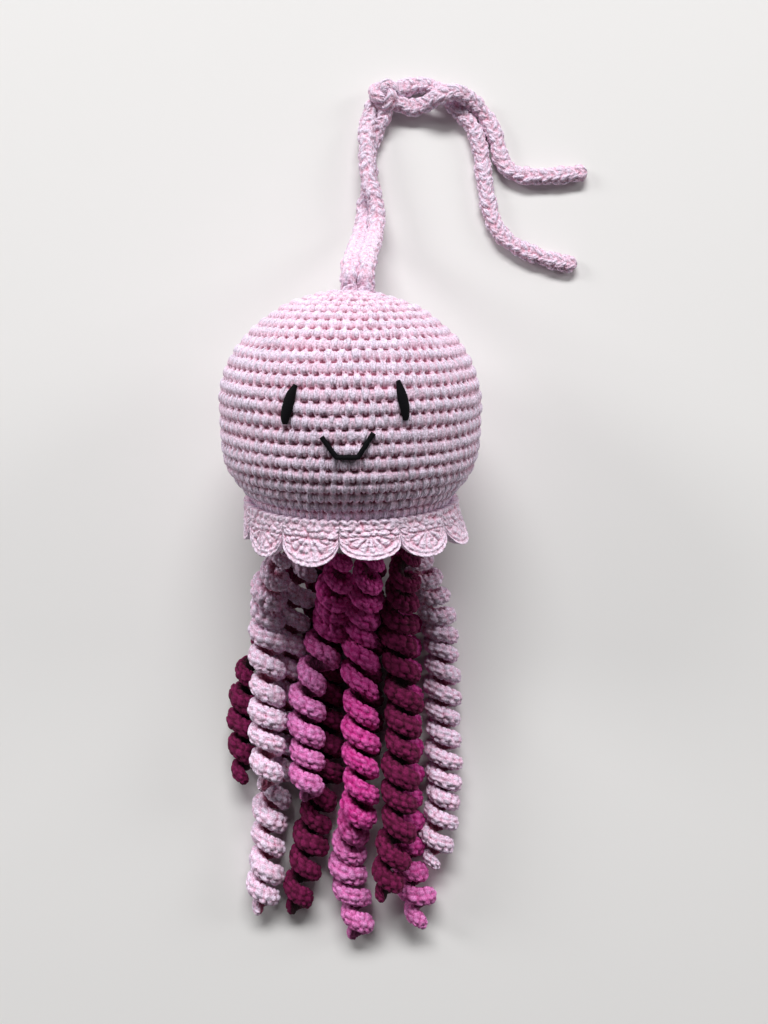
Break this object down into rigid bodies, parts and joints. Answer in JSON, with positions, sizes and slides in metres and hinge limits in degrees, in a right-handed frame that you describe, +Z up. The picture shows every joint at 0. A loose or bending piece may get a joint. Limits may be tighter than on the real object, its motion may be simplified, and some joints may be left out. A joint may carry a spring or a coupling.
{
  "type": "crocheted jellyfish toy",
  "caption": "Soft crocheted jellyfish toy lying on its back: stuffed round head with a stitched face, scalloped frill, curly tentacles and two knotted ribbons.",
  "frame": {"origin": "on the small flat spot under the head's back, straight below the head's centre", "axes": "+Z up out of the face, +Y towards the crown and the ties, -Y along the tentacles, +X towards the toy's right-hand eye as seen from above"},
  "size_m": [0.1686, 0.4056, 0.1088],
  "materials": {
    "head_yarn": "matte light pink crocheted yarn",
    "tie_yarn": "matte rosy pink crocheted ribbon",
    "pale_pink_yarn": "matte pale pink crocheted yarn",
    "hot_pink_yarn": "matte hot pink crocheted yarn",
    "dark_magenta_yarn": "matte dark magenta crocheted yarn",
    "black_thread": "black embroidery thread, slight sheen"
  },
  "bodies": {
    "root": {"body": "head_yarn", "frill": "head_yarn", "eye_left": "black_thread", "eye_right": "black_thread", "mouth": "black_thread", "tentacle_01": "dark_magenta_yarn", "tentacle_02": "pale_pink_yarn", "tentacle_03": "pale_pink_yarn", "tentacle_04": "hot_pink_yarn", "tentacle_05": "dark_magenta_yarn", "tentacle_06": "hot_pink_yarn", "tentacle_07": "dark_magenta_yarn", "tentacle_08": "dark_magenta_yarn", "tentacle_09": "hot_pink_yarn", "tentacle_10": "pale_pink_yarn", "tie_strap_over": "tie_yarn", "tie_strap_under": "tie_yarn", "tie_tail_over": "tie_yarn", "tie_tail_under": "tie_yarn", "tie_knot": "tie_yarn"}
  },
  "joints": []
}
